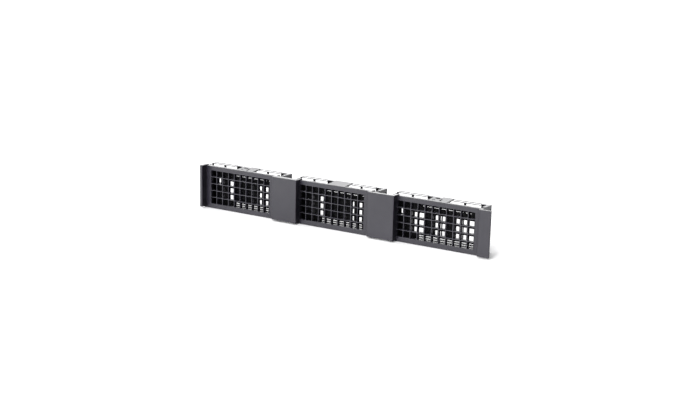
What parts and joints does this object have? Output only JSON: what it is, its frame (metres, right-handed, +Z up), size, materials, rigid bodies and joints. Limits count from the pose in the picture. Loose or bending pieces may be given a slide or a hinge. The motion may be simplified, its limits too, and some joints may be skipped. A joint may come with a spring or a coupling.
{
  "type": "drive bay blank filler",
  "caption": "Long plastic filler with recessed square-hole grille windows, plain raised panels between them and shallow open boxes behind, for closing empty drive bays.",
  "frame": {"origin": "bottom centre of the whole part's bounding box", "axes": "+X along the length from the flange to the narrow plate, +Y from the front panels to the rear, +Z up"},
  "size_m": [0.3144, 0.0232, 0.0436],
  "materials": {
    "case": "fine moulded texture, dark grey"
  },
  "bodies": {
    "root": {"filler_panel": "case"}
  },
  "joints": []
}
